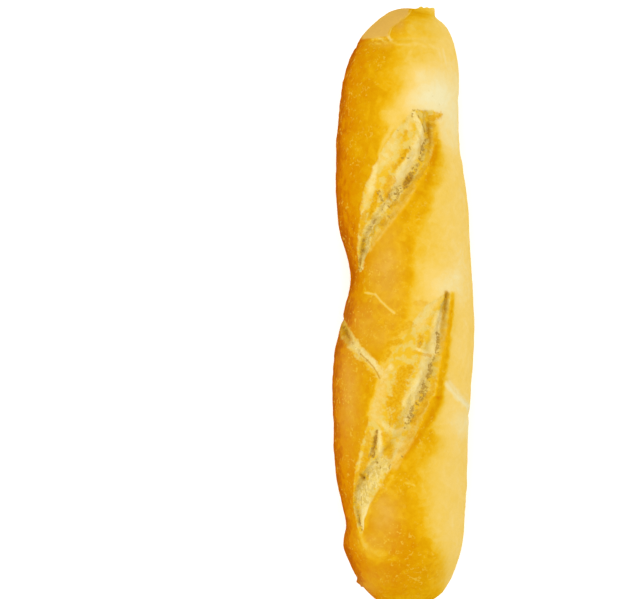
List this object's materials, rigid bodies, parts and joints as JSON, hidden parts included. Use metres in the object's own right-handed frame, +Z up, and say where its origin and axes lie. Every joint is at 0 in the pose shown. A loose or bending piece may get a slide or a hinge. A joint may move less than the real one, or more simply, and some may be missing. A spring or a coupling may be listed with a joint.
{
  "type": "demi baguette",
  "caption": "Short crusty stick loaf with slanting open scores along its crown, a torn crack on one side and a flat underside that it lies on.",
  "frame": {"origin": "on the surface the loaf lies on, under the middle of its length and width", "axes": "+Y along the loaf towards the end with the ragged nub, +X across it towards the raised lips of the scores, +Z up through the crown"},
  "size_m": [0.0643, 0.2691, 0.0505],
  "materials": {
    "crust": "thin golden baked crust, satin, paler on one side, with cream crumb in the scores"
  },
  "bodies": {
    "root": {"loaf": "crust"}
  },
  "joints": []
}
